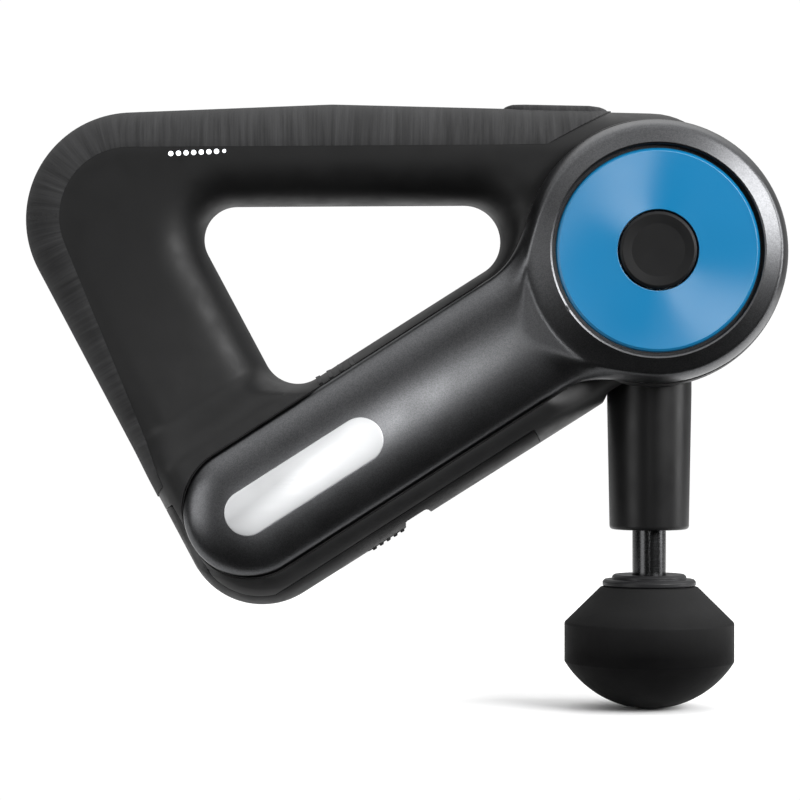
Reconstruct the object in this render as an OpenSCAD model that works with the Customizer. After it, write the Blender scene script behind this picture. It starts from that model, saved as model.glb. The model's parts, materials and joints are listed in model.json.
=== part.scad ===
// Percussive massage gun with a triangular handle and a swivelling drive arm.
// +X points towards the working side, +Z up, +Y from the disc side to the rear.
// The origin lies on the flat rear face, on the axis of the round head.

/* [Head] */
// Radius of the round head housing at its shoulders
head_r = 41.7; // [41.5:0.1:42.5]
// Crown of the head housing, out to its middle plane
head_crown = 1.2; // [0.8:0.1:2]
// Depth of the head over both covers
head_depth = 66; // [66:0.5:70]
// Radius of the ring of each cover at its foot
ring_r = 41.1; // [40.8:0.05:41.2]
// Radius of the blue disc
disc_r = 31; // [29:0.1:31.5]
// Radius of the centre button
button_r = 12; // [11.5:0.1:12.3]
// Travel of the centre button
button_travel = 1.5; // [1:0.1:1.6]

/* [Handle] */
// Tilt of the lower arm below the horizontal
arm_tilt = 32.6; // [32.5:0.05:32.7]
// Half depth of the top and left bars
bar_half = 19; // [18:0.5:20]
// Half depth of the lower arm
arm_half = 28; // [27.5:0.5:28]
// Width of the grip band on each side of the rim
band_w = 12.5; // [10:0.5:13]
// Thickness of the grip band
band_t = 1.8; // [1.5:0.1:2]

/* [Drive] */
// Stroke of the shaft
stroke = 16; // [14:1:16]
// Radius of the drive shaft
shaft_r = 5.35; // [5.2:0.05:5.5]
// Radial running clearance of the shaft and the swivel
running_gap = 0.05; // [0.03:0.01:0.08]
// Radius of the sleeve at its root
sleeve_r = 13.35; // [13:0.05:13.5]
// Radius of the sleeve at its mouth
sleeve_tip_r = 12.5; // [12:0.1:13]
// Radius of the foam head at its widest
foam_r = 26.9; // [25:0.1:27.5]

/* [Battery] */
// Diameter of one cell
cell_d = 18.4; // [18:0.1:18.5]
// Length of one cell
cell_l = 65; // [65:0.1:65.5]
// Clearance of the battery in its channel
battery_gap = 0.4; // [0.3:0.05:0.5]

/* [Hidden] */
$fn = 96;
eps = 0.01;
mid = head_depth / 2;
// [x, z, radius] of the rounded corners of the outline
corner_top = [-164.7, 11.2, 34.3];
crown_top = [-101.2, 18, 30];
end_top = [0, 21.5, 24];
corner_low = [-123.4, -87, 24.8];
// [x, z, radius] of the rounded corners of the hand hole
hole_corners = [[-131.8, 5, 10.5], [-59.2, 4.3, 11.6], [-112.3, -29.8, 11.3]];
edge = 6;
// Head: wall, cavity, slot and bearing sizes
head_wall_y = 20;
cavity_r = head_r - 1.8;
cavity_y = 17.5;
carrier_r = cavity_r - 0.4;
carrier_y = cavity_y - 0.7;
slot_y = 14;
slot_from = -108;
slot_to = 50.4;
trunnion_r = 17;
trunnion_hole_r = 14;
bush_r = 19;
// Covers
cover_y = 31;
pill_s = 150.2;
pill_r = 20.7;
fillet_r = 14;
web_y = 28;
recess_r = 32.7;
recess_y = 30.5;
plate_s = [109.1, 150.6];
plate_r = 7.1;
// Battery channel along the arm, with its keel
channel_s = 62;
channel_low = -14.5;
channel_high = 26.5;
channel_y = 21.5;
cell_t = (channel_low + channel_high) / 2 + 0.4;
latch_s = [111.8, 126.5];
notch_s = 102.7;
keel_t = 31.2;
latch_proud = 0.6;
// Drive heights below the head axis
crank_r = stroke / 2;
bearing_r = 4;
yoke_y = [-10.5, -6];
shaft_top = -28.6;
foot_low = -34;
sleeve_low = -87.6;
sleeve_edge = sleeve_low + 1.4;
shaft_low = -118;
socket_z = [-102, -103.6, -105.8];
foam_z = [-117.4, -129.8, -144.9];
// Button in the top of the bar, over its switch
power_x = [-40, -20];
power_r = 7;
power_top = 47.7;
power_floor = 43.5;
led_from = [-151.5, 30.9];
led_to = [-134.8, 31.7];
led_count = 8;
vent_from = [-105, -39.9];
vent_to = [-95, -34.2];
vent_count = 4;
shell_screw_at = [[-166, 14], [-142.5, -53], [-100, 26], [-35.6, -35.9]];
cover_screw_at = [[35.5, 60], [35.5, 180], [35.5, 300]];

// ---------- helpers ----------

// Moves a piece from the middle plane to the frame of the part
module in_frame() translate([0, -mid, 0]) children();

// Extrudes an outline drawn in X and Z from y0 to y1
module slab(y0, y1) translate([0, y1, 0]) rotate([90, 0, 0]) linear_extrude(y1 - y0) children();

// A cylinder along Y
module drum(r, y0, y1) translate([0, y1, 0]) rotate([90, 0, 0]) cylinder(r = r, h = y1 - y0);

// Turns a profile of radius and Y about the head axis
module turned() rotate([-90, 0, 0]) rotate_extrude() children();

// Turns a profile of radius and Z about the arm axis
module turned_z() rotate_extrude() children();

// Local X runs along the lower arm from the head, Z out of its underside
module along_arm() rotate([0, 180 - arm_tilt, 0]) children();

module along_arm_2d() rotate(180 + arm_tilt) children();

// A box given by its limits along X, Y and Z
module block(x, y, z)
  translate([x[0], y[0], z[0]]) cube([x[1] - x[0], y[1] - y[0], z[1] - z[0]]);

module pill_2d(x0, x1, r) {
  translate([x0, 0]) circle(r);
  translate([x1, 0]) circle(r);
  translate([x0, -r]) square([x1 - x0, 2 * r]);
}

module tube(r_out, r_in, y0, y1) difference() {
  drum(r_out, y0, y1);
  drum(r_in, y0 - 1, y1 + 1);
}

module tube_z(r_out, r_in, z0, z1) translate([0, 0, z0]) difference() {
  cylinder(r = r_out, h = z1 - z0);
  translate([0, 0, -1]) cylinder(r = r_in, h = z1 - z0 + 2);
}

// ---------- outer form of the handle ----------

// Front half of a rounded disc, the corner form of every bar
module puck(c, depth, inset) translate([c[0], 0, c[1]]) {
  drum(c[2] - inset, -(depth - edge), 0);
  drum(c[2] - inset - edge * 0.3, -(depth - edge * 0.3 - inset), 0);
  drum(c[2] - inset - edge, -(depth - inset), 0);
}

module top_and_left_bars(inset) {
  hull() {
    $fn = 40;
    puck(corner_top, bar_half, inset);
    puck(crown_top, bar_half, inset);
    puck(end_top, bar_half, inset);
  }
  hull() {
    $fn = 40;
    puck(corner_top, bar_half, inset);
    puck(corner_low, bar_half, inset);
  }
}

module lower_arm() hull() {
  $fn = 40;
  puck(corner_low, arm_half, 0);
  along_arm() rotate([0, 180, 0]) puck([-pill_s, 0, 24.2], arm_half, 0);
  along_arm() rotate([0, 180, 0]) puck([-25, -4.3, 27.9], arm_half, 0);
}

module hand_hole() slab(-40, 40) {
  for (c = hole_corners) translate([c[0], c[1]]) circle(c[2]);
  polygon(concat(edge_ends(hole_corners[0], hole_corners[1]),
    edge_ends(hole_corners[1], hole_corners[2]), edge_ends(hole_corners[2], hole_corners[0])));
}

// The two ends of a straight edge that runs just inside two corner circles, on their left-hand side
function edge_ends(a, b) =
  let (d = [b[0] - a[0], b[1] - a[1]], l = norm(d), turn = asin((a[2] - b[2]) / l),
    t = atan2(d[1], d[0]) + 90 - turn)
  [for (c = [a, b]) [c[0] + (c[2] - 0.03) * cos(t), c[1] + (c[2] - 0.03) * sin(t)]];

// Everything further out than the inner edge of the grip band
module band_zone() slab(-40, 40) difference() {
  translate([-220, -72]) square([208.2, 140]);
  hull() {
    translate([corner_top[0], corner_top[1]]) circle(corner_top[2] - band_w, $fn = 64);
    translate([corner_low[0], corner_low[1]]) circle(corner_low[2], $fn = 64);
    circle(34, $fn = 64);
  }
  circle(head_r + head_crown + 0.2);
}

module front_half_form() {
  difference() {
    top_and_left_bars(0);
    band_zone();
  }
  intersection() {
    top_and_left_bars(band_t);
    band_zone();
  }
  lower_arm();
  head_drum();
}

// Front half of the crowned drum of the head
module head_drum() turned() polygon(concat([[0, -head_wall_y], [head_r, -head_wall_y]],
  [for (y = [-17.5:2.5:0]) [head_r + head_crown * (1 - pow(y / head_wall_y, 2)), y]], [[0, 0]]));

// ---------- cut-outs shared by the shells ----------

module battery_zone(gap) along_arm() {
  block([channel_s - gap, 200], [-channel_y - gap, channel_y + gap],
    [channel_low - gap, channel_high + gap]);
  block([channel_s - gap, 200], [-60, 60], [channel_high - gap, 60]);
}

// The opening in the housing that the sleeve swings along
module arm_slot() {
  slab(-slot_y, slot_y) polygon(concat([[0, 0]],
    [for (i = [0:8]) 70 * [cos(slot_from + (slot_to - slot_from) * i / 8),
      sin(slot_from + (slot_to - slot_from) * i / 8)]]));
  block([-sleeve_r - 0.6, 0], [-slot_y, slot_y], [-60, -30]);
}

module cavities() {
  drum(cavity_r, -cavity_y, cavity_y);
  block([-92, -50], [-13, 13], [20, 41]);
  block([-148, -108], [-13, 13], [20, 33]);
  translate([-161.5, 0, -9]) rotate([0, -28, 0]) block([-8, 14], [-14, 14], [-34, 12]);
  block([-36, -24], [-6, 6], [36, power_floor + eps]);
  along_arm() block([50, channel_s - battery_gap + eps], [-14, 14], [-8, 14]);
  drum(bush_r, -40, 40);
}

module power_pocket() {
  translate([0, 0, power_floor]) linear_extrude(20) pill_2d(power_x[0], power_x[1], power_r + 0.3);
}

module shell_screw(gap) {
  drum(1.5 + gap, -9, 13);
  drum(3 + gap, 13, 40 * (gap > 0 ? 1 : 0) + 15.5 * (gap > 0 ? 0 : 1));
}

module cover_skirt(r_extra) slab(-arm_half - 1, -arm_half + 3) along_arm_2d() difference() {
  pill_2d(60, pill_s, pill_r - 0.4 + r_extra);
  pill_2d(60, pill_s, pill_r - 2.4 - r_extra);
  translate([0, -50]) square([60, 100]);
}

// Room for the ring of one cover and for what stands in it, with the holes of its screws
module cover_seat() {
  drum(ring_r + 0.1, -40, -head_wall_y - 0.1);
  for (p = cover_screw_at) rotate([0, -p[1], 0]) translate([p[0], 0, 0]) drum(1.45, -30, -17);
}

module shell_cuts() {
  hand_hole();
  battery_zone(battery_gap);
  arm_slot();
  cavities();
  power_pocket();
  cover_seat();
  mirror([0, 1, 0]) cover_seat();
  for (p = shell_screw_at) translate([p[0], 0, p[1]]) shell_screw(0.05);
}

// Places its children at steps from one point to another in X and Z
module row_of(a, b, n) for (i = [0:n - 1])
  translate([a[0] + (b[0] - a[0]) * i / (n - 1), 0, a[1] + (b[1] - a[1]) * i / (n - 1)]) children();

module led(i_gap) drum(0.95 + i_gap, -bar_half - 0.15, -bar_half + 2.5);

module vent_slot() rotate([0, 180 - arm_tilt + 8, 0]) block([-0.75, 0.75], [-40, -19], [-1.15, 1.15]);

// ---------- housing ----------

module handle_shell_front() color("#1d1d1f") in_frame() difference() {
  front_half_form();
  shell_cuts();
  cover_skirt(0.05);
  row_of(led_from, led_to, led_count) led(0);
  row_of(vent_from, vent_to, vent_count) vent_slot();
}

module handle_shell_rear() color("#1d1d1f") in_frame() difference() {
  mirror([0, 1, 0]) front_half_form();
  shell_cuts();
  mirror([0, 1, 0]) cover_skirt(0.05);
}

module band_half() intersection() {
  difference() {
    top_and_left_bars(0);
    top_and_left_bars(band_t);
  }
  band_zone();
}

module grip_band() color("#3a3b3d") in_frame() difference() {
  union() {
    band_half();
    mirror([0, 1, 0]) band_half();
  }
  power_pocket();
}

// Ring and arm outline of both covers, with the two concave corners filled
module cover_outline() offset(r = -fillet_r, $fn = 64) offset(delta = fillet_r) {
  circle(ring_r - 3);
  along_arm_2d() pill_2d(0, pill_s, pill_r);
}

// Front cover without its holes: ring with its web, arm plate and skirt
module cover_form() {
  turned() polygon([[ring_r, -20.2], [ring_r - 0.2, -24], [ring_r - 0.9, -27.5], [ring_r - 2, -29.7],
    [ring_r - 3.5, -31.5], [ring_r - 5.3, -mid + 0.4], [recess_r + 0.9, -mid], [recess_r, -mid + 0.7],
    [recess_r, -recess_y], [0, -recess_y], [0, -web_y - 0.2], [ring_r - 2.9, -web_y - 0.2],
    [ring_r - 2.2, -web_y + 0.8], [ring_r - 1.9, -20.2]]);
  difference() {
    slab(-cover_y, -arm_half) cover_outline();
    drum(recess_r + 2, -60, 0);
  }
  difference() {
    cover_skirt(0);
    drum(ring_r - 1, -60, 0);
  }
}

module front_cover() color("#4c4f53") in_frame() difference() {
  cover_form();
  drum(button_r + 0.4, -60, 0);
  translate([0, -cover_y - 10 + 0.7, 0]) slab(0, 10) along_arm_2d()
    pill_2d(plate_s[0], plate_s[1], plate_r);
  for (p = cover_screw_at) rotate([0, -p[1], 0]) translate([p[0], 0, 0]) drum(1.4, -29.3, 0);
}

module rear_cover() color("#3c3e41") in_frame() mirror([0, 1, 0]) difference() {
  union() {
    cover_form();
    drum(13, -mid, -web_y - 0.4);
    for (a = [0:60:300]) rotate([0, a, 0])
      block([12, recess_r + 1], [-mid + 0.3, -web_y - 0.6], [-1.6, 1.6]);
  }
  for (a = [0:60:300]) rotate([0, a + 30, 0]) translate([22.5, 0, 0]) drum(6, -60, 0);
  for (p = cover_screw_at) rotate([0, -p[1], 0]) translate([p[0], 0, 0]) drum(1.4, -29.3, 0);
}

module accent_disc() color("#2a86c0") in_frame() turned() polygon([[button_r + 0.6, -recess_y],
  [button_r + 0.6, -32.2], [disc_r - 1, -32.2], [disc_r - 0.5, -31.9], [disc_r, -31.2],
  [disc_r, -recess_y]]);

// Pierced sheet behind the spokes of the rear cover
module rear_grille() color("#6a6c70") in_frame() difference() {
  drum(29, web_y - 1.2, web_y);
  for (r = [17.5:3.5:27.5], a = [0:360 / floor(r * 1.6):359]) rotate([0, a, 0])
    translate([r, 0, 0]) rotate([0, 45, 0]) drum(1.1, 20, 40, $fn = 24);
}

module name_plate() color("#c9cbce") in_frame() slab(-cover_y - 0.3, -cover_y + 0.7)
  along_arm_2d() pill_2d(plate_s[0], plate_s[1], plate_r);

module battery_leds() color("white") in_frame() row_of(led_from, led_to, led_count) led(0);

module vent_mesh() color("#101012") in_frame() row_of(vent_from, vent_to, vent_count)
  rotate([0, 180 - arm_tilt + 8, 0]) block([-0.75, 0.75], [-20, -19], [-1.15, 1.15]);

module controller_board() color("#1f5f3a") in_frame() translate([-161.5, 0, -9])
  rotate([0, -28, 0]) {
    block([-6, 12], [-1, 0.6], [-32, 8]);
    block([-2, 8], [0.6, 3.6], [-24, -14]);
    block([-3, 3], [0.6, 2.6], [-8, 2]);
    block([-4, 10], [-5, -1], [-31, -27]);
  }

module light_board() color("#1f5f3a") in_frame() {
  block([-147, -134], [-12.5, -11.3], [21, 32]);
  for (i = [0:3]) block([-145.5 + 3 * i, -144 + 3 * i], [-12.9, -12.5], [29, 31]);
}

module driver_board() color("#1f5f3a") in_frame() difference() {
  union() {
    tube(27, 20.5, 22.2, 23.8);
    for (a = [30:60:330]) rotate([0, a, 0]) translate([23.7, 0, 0]) drum(2.4, 23, 25.8);
  }
  rotate([0, 90, 0]) block([-40, -18], [20, 27], [-3, 3]);
}

// A lead of straight runs with round joints through the given points
module lead(points, r) for (i = [0:len(points) - 2]) {
  a = points[i];
  d = points[i + 1] - a;
  translate(a) rotate([0, acos(d[2] / norm(d)), atan2(d[1], d[0])])
    cylinder(r = r, h = norm(d), $fn = 16);
  translate(points[i + 1]) sphere(r, $fn = 16);
}

module wiring_harness() color("#8c1f1f") in_frame() {
  lead([[-88, 8, 24], [-70, 8, 26], [-54, 8, 27]], 1.6);
  lead([[-88, 4, 24], [-70, 4, 26], [-54, 4, 27]], 1.6);
  along_arm() lead([[52, 8, 0], [56, 8, 6]], 1.4);
}

module power_switch() color("#222222") in_frame() {
  block([-33, -27], [-3, 3], [37, 42]);
  translate([-30, 0, 42]) cylinder(r = 1.7, h = 1.2);
}

module battery_contacts() color("#b08d3a") in_frame() along_arm() {
  block([58, channel_s - 0.6], [-12, 12], [3.5, 13.5]);
  for (y = [-9:6:9]) block([channel_s - 0.6, channel_s - 0.1], [y - 1, y + 1], [5, 12]);
}

module shell_screws() color("#55585c") in_frame()
  for (p = shell_screw_at) translate([p[0], 0, p[1]]) shell_screw(0);

module cover_screws() color("#55585c") in_frame() for (side = [0, 1]) mirror([0, side, 0])
  for (p = cover_screw_at) rotate([0, -p[1], 0]) translate([p[0], 0, 0]) {
    drum(1.4, -29.3, -17.6);
    drum(2.6, -27.9, -26);
  }

module swivel_bush_front() color("#d8d2c0") in_frame()
  tube(bush_r, trunnion_r + running_gap, -head_wall_y, -cavity_y);

module swivel_bush_rear() color("#d8d2c0") in_frame()
  tube(bush_r, trunnion_r + running_gap, cavity_y, head_wall_y);

// ---------- arm: carrier, sleeve and motor ----------

module drive_carrier() color("#18181a") in_frame() difference() {
  union() {
    tube(carrier_r, carrier_r - 2.6, -carrier_y + 2.5, carrier_y);
    tube(carrier_r - eps, trunnion_hole_r - 6, carrier_y - 2.5, carrier_y);
    tube(trunnion_r, trunnion_hole_r, carrier_y - eps, head_wall_y - 0.3);
  }
  translate([0, 0, -60]) cylinder(r = sleeve_r, h = 30);
}

module carrier_cover() color("#2a2a2d") in_frame() difference() {
  union() {
    tube(carrier_r, trunnion_hole_r, -carrier_y, -carrier_y + 2.5);
    tube(trunnion_r, trunnion_hole_r, -head_wall_y + 0.3, -carrier_y + eps);
  }
  for (a = [45:90:315]) rotate([0, a, 0]) translate([24, 0, 0]) drum(1.5, -30, 0);
}

// Ring with the four notches that the lock hub drops into
module detent_plate() color("#9a9da1") in_frame() difference() {
  tube(27, 8.5, -carrier_y + 2.5, -carrier_y + 4);
  for (i = [0:3]) rotate([0, 90 + 40 * i, 0]) block([7, 11], [-20, 0], [-1.8, 1.8]);
  for (a = [45:90:315]) rotate([0, a, 0]) translate([24, 0, 0]) drum(1.5, -30, 0);
}

module carrier_screws() color("#55585c") in_frame() for (a = [45:90:315]) rotate([0, a, 0])
  translate([24, 0, 0]) {
    drum(1.5, -carrier_y, -carrier_y + 4);
    drum(2.5, -carrier_y + 4, -carrier_y + 5.4);
  }

module arm_sleeve() color("#0e0e10") in_frame() difference() {
  union() {
    translate([0, 0, -40]) cylinder(r = sleeve_r, h = 6);
    translate([0, 0, sleeve_edge]) cylinder(r1 = sleeve_tip_r, r2 = sleeve_r, h = -40 - sleeve_edge);
    turned_z() polygon([[0, sleeve_low], [sleeve_tip_r - 1.4, sleeve_low],
      [sleeve_tip_r - 0.4, sleeve_low + 0.4], [sleeve_tip_r, sleeve_edge], [0, sleeve_edge]]);
  }
  translate([0, 0, -43.5]) cylinder(r = 11.6, h = 20);
  translate([0, 0, sleeve_low + 2]) cylinder(r = 9.5, h = 60);
  translate([0, 0, -95]) cylinder(r = shaft_r + 0.9, h = 20);
}

module shaft_bush_upper() color("#b08d57") in_frame() tube_z(9.5, shaft_r + running_gap, -58, -46);

module shaft_bush_lower() color("#b08d57") in_frame() tube_z(9.5, shaft_r + running_gap, -83, -71);

module shaft_seal() color("#141414") in_frame() tube_z(9.5, shaft_r + running_gap, sleeve_low + 2, -83);

module motor_mount() color("#b5b8bb") in_frame() difference() {
  union() {
    drum(6.5, 1, carrier_y - 2.5);
    drum(13, carrier_y - 4.5, carrier_y - 2.5);
  }
  drum(2.8, -1, 20);
  drum(5, 0, 4);
  drum(5, 9, 20);
}

module motor_bearings() color("#c4c7ca") in_frame() {
  tube(5, 2.5, 1, 4);
  tube(5, 2.5, 9, 12);
}

module motor_stator() color("#a5642b") in_frame() difference() {
  union() {
    drum(9.5, 2, 9.5);
    for (a = [0:30:330]) rotate([0, a, 0]) {
      block([9, 13.5], [2.5, 9], [-1.6, 1.6]);
      block([13.4, 14.8], [2.5, 9], [-3, 3]);
    }
  }
  drum(6.5, 0, 20);
}

// ---------- crank ----------

module motor_rotor() color("#7d8084") in_frame() difference() {
  drum(18.8, -0.8, 9.8);
  drum(16, 0.8, 20);
  drum(2.5, -5, 20);
  for (a = [0:60:300]) rotate([0, a, 0]) translate([11, 0, 0]) drum(2.6, -5, 1);
}

module motor_shaft() color("#d5d7da") in_frame() drum(2.5, -5.5, 13.5);

module crank_wheel() color("#8f9296") in_frame() difference() {
  union() {
    drum(13, -5.5, -3);
    drum(5, -3, -0.8);
    slab(-3, -1) intersection() {
      circle(13);
      translate([-14, -14]) square([9, 28]);
    }
  }
  drum(2.5, -10, 5);
  translate([crank_r, 0, 0]) drum(2, -10, 5);
}

module crank_pin() color("#d5d7da") in_frame() translate([crank_r, 0, 0]) drum(2, -11.2, -3);

module pin_bearing() color("#c4c7ca") in_frame() translate([crank_r, 0, 0])
  tube(bearing_r, 2, yoke_y[0], yoke_y[1]);

// ---------- shaft ----------

yoke_slot_h = bearing_r + 1.9;
yoke_slot_w = crank_r + bearing_r + 0.6;

module yoke() color("#9ea1a5") in_frame() difference() {
  union() {
    slab(yoke_y[0], yoke_y[1]) {
      translate([-yoke_slot_w - 3, -yoke_slot_h - 3])
        square([2 * yoke_slot_w + 6, 2 * yoke_slot_h + 6]);
      translate([-4, foot_low]) square([8, -foot_low]);
    }
    block([-4, 4], [yoke_y[0], 0], [foot_low, shaft_top + 0.4]);
    translate([0, 0, foot_low]) cylinder(r = 7, h = shaft_top + 0.4 - foot_low);
  }
  block([-yoke_slot_w, yoke_slot_w], [-30, 0], [-yoke_slot_h, yoke_slot_h]);
  translate([0, 0, foot_low - 1]) cylinder(r = shaft_r, h = shaft_top - foot_low + 1);
}

module drive_shaft() color("#7c7f83") in_frame() difference() {
  translate([0, 0, shaft_low]) cylinder(r = shaft_r, h = shaft_top - shaft_low);
  translate([0, 0, -113]) difference() {
    cylinder(r = 8, h = 1.6);
    cylinder(r = shaft_r - 0.9, h = 1.6);
  }
}

module shaft_o_ring() color("#1b1b1b") in_frame() tube_z(shaft_r, shaft_r - 0.9, -113, -111.4);

// ---------- massage head ----------

module head_socket() color("#8b8d90") in_frame() difference() {
  turned_z() polygon([[0, socket_z[0]], [11.4, socket_z[0]], [11.85, socket_z[0] - 0.4],
    [11.85, socket_z[1]], [14.5, socket_z[1]], [14.9, socket_z[1] - 0.4], [14.9, socket_z[2]],
    [10, socket_z[2]], [10, -122], [0, -122]]);
  translate([0, 0, shaft_low]) cylinder(r = shaft_r + running_gap, h = 30);
}

module foam_head() color("#131314") in_frame() difference() {
  turned_z() polygon(concat([[0, socket_z[2]], [14.9, socket_z[2]], [foam_r - 0.6, foam_z[0] + 0.3],
    [foam_r, foam_z[0] - 0.6], [foam_r, foam_z[1] + 0.6]],
    [for (a = [57:-3:0]) [dome_r * sin(a), dome_z - dome_r * cos(a)]]));
  translate([0, 0, -122]) cylinder(r = 10, h = 30);
}

dome_h = foam_z[1] - foam_z[2];
dome_r = (foam_r * foam_r + dome_h * dome_h) / (2 * dome_h);
dome_z = foam_z[2] + dome_r;

// ---------- buttons ----------

module centre_button() color("#17181a") in_frame() turned() polygon([[0, -32.6], [8.5, -32.75],
  [button_r - 0.8, -33], [button_r, -32.3], [button_r, -29.4], [9, -29.4], [9, -31],
  [4, -31], [4, -25], [0, -25]]);

// Lock hub behind the centre button, with its four dogs
module lock_hub() color("#9a9da1") in_frame() {
  drum(4, -25, -17);
  drum(7.5, -17.9, -16.1);
  for (i = [0:3]) rotate([0, 90 + 40 * i, 0]) block([5.5, 10.5], [-17.7, -16.3], [-1.4, 1.4]);
}

module button_spring() color("#b9bcc0") in_frame() tube(6, 4.6, -30.9, -24.6);

module power_button() color("#2c2d30") in_frame() {
  translate([0, 0, power_top - 3]) linear_extrude(2.4) pill_2d(power_x[0], power_x[1], power_r);
  translate([0, 0, power_top - 0.6]) linear_extrude(0.6)
    pill_2d(power_x[0], power_x[1], power_r - 0.6);
  translate([-30, 0, 44.4]) cylinder(r = 2, h = 1);
}

// ---------- battery ----------

module battery_case() color("#161618") in_frame() difference() {
  intersection() {
    union() {
      lower_arm();
      mirror([0, 1, 0]) lower_arm();
    }
    battery_zone(0);
  }
  along_arm() {
    block([channel_s + 2.4, channel_s + 2.4 + cell_l + 6], [-19.6, 19.6],
      [channel_low + 1.5, channel_high - 0.4]);
    block([notch_s, latch_s[0]], [-11, 11], [keel_t - 1.8, 60]);
    block([latch_s[0] - eps, latch_s[1] + 0.3], [-9.3, 9.3], [channel_high + 1, 60]);
    block([channel_s - 5, channel_s + 3], [-12, 12], [4, 13]);
  }
}

module battery_cells() color("#2f6fb0") in_frame() along_arm()
  for (y = [-9.4, 9.4], t = [-9.4, 9.4]) translate([channel_s + 3.5, y, cell_t + t])
    rotate([0, 90, 0]) cylinder(d = cell_d, h = cell_l);

module battery_terminals() color("#c8a24a") in_frame() along_arm() difference() {
  block([channel_s, channel_s + 2.4], [-12, 12], [4, 13]);
  for (y = [-9:6:9]) block([channel_s - 1, channel_s + 0.9], [y - 1.3, y + 1.3], [4.6, 12.4]);
}

module battery_latch() color("#202124") in_frame() along_arm() {
  block([latch_s[0] + 0.3, latch_s[1]], [-9, 9], [keel_t - 2, keel_t]);
  for (s = [latch_s[0] + 1.3:2.6:latch_s[1] - 1.6])
    block([s, s + 1.4], [-8, 8], [keel_t - eps, keel_t + latch_proud]);
}

module latch_spring() color("#b9bcc0") in_frame() along_arm()
  translate([(latch_s[0] + latch_s[1]) / 2, 0, 0]) tube_z(3.5, 2.6, channel_high + 1, keel_t - 2);

handle_shell_front();
handle_shell_rear();
grip_band();
front_cover();
rear_cover();
accent_disc();
rear_grille();
name_plate();
battery_leds();
vent_mesh();
controller_board();
light_board();
driver_board();
wiring_harness();
power_switch();
battery_contacts();
shell_screws();
cover_screws();
swivel_bush_front();
swivel_bush_rear();
drive_carrier();
carrier_cover();
detent_plate();
arm_sleeve();
shaft_bush_upper();
shaft_bush_lower();
shaft_seal();
motor_mount();
motor_stator();
motor_bearings();
carrier_screws();
motor_rotor();
motor_shaft();
crank_wheel();
crank_pin();
pin_bearing();
yoke();
drive_shaft();
shaft_o_ring();
head_socket();
foam_head();
centre_button();
lock_hub();
button_spring();
power_button();
battery_case();
battery_cells();
battery_terminals();
battery_latch();
latch_spring();
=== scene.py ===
"""Looks of the massage gun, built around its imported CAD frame.

The CAD frame has +X towards the working side, +Z up and +Y from the disc side to the rear face.
Shapes here are worked out in millimetres in the middle plane of the part and scaled to metres
when their meshes are made.
"""

import json
import math

import bmesh
import bpy
import numpy as np
from mathutils import Matrix, Vector


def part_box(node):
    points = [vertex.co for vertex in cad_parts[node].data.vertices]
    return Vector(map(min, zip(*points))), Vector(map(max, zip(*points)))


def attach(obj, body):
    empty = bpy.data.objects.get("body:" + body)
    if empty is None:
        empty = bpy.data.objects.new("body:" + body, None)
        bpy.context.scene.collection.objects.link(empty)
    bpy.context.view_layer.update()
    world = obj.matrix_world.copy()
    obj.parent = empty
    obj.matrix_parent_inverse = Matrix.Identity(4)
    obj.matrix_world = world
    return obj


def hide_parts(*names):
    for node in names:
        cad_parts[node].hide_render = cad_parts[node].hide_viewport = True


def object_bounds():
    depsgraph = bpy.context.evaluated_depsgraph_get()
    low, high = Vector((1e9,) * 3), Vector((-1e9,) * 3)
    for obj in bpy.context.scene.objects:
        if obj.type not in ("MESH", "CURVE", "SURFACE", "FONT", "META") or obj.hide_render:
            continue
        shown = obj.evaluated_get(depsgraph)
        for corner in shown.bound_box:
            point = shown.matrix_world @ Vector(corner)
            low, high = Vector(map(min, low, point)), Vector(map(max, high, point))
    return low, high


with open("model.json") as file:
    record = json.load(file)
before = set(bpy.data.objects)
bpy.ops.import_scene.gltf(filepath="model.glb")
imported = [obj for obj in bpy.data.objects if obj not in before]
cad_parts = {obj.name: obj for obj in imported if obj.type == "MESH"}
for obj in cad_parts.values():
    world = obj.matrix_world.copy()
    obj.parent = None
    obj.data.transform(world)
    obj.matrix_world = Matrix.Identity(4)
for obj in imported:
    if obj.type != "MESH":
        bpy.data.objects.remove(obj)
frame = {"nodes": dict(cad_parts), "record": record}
CAD_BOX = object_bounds()
MM = 0.001


def cad(node):
    """Lowest and highest corner of a CAD node, in millimetres."""
    low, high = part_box(node)
    return np.array(low) / MM, np.array(high) / MM


# ---------- sizes ----------

HEAD_DEPTH = (CAD_BOX[1][1] - CAD_BOX[0][1]) / MM
MID = -HEAD_DEPTH / 2
HALF = HEAD_DEPTH / 2
# The lower arm runs down to the left: s counts along it from the head, t below its axis
TILT = math.radians(32.6)
ALONG = np.array([-math.cos(TILT), -math.sin(TILT)])
BELOW = np.array([math.sin(TILT), -math.cos(TILT)])
# [x, z, radius] of the circles at the corners of the outline and of the hand hole
CORNER_TOP = (-164.7, 11.2, 34.3)
CROWN_TOP = (-101.2, 18.0, 30.0)
END_TOP = (0.0, 21.5, 24.0)
CORNER_LOW = (-123.4, -87.0, 24.8)
ARM_END = (*(150.2 * ALONG), 24.2)
ARM_ROOT = (*(25.0 * ALONG + 4.3 * BELOW), 27.9)
HOLE = ((-131.8, 5.0, 10.5), (-59.2, 4.3, 11.6), (-112.3, -29.8, 11.3))
# Thickness of the grip band, and half thickness of the bars under it and of the lower arm
SKIN = 0.4
BAR_HALF = 19.0 - SKIN
ARM_HALF = 26.4
# Width of the rounded edges at the rim and at the hand hole, of the bars and of the arm
RIM_EDGE = (15.0, 11.0)
HOLE_EDGE = (16.0, 5.5)
EDGE_POWER = 2.35
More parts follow.
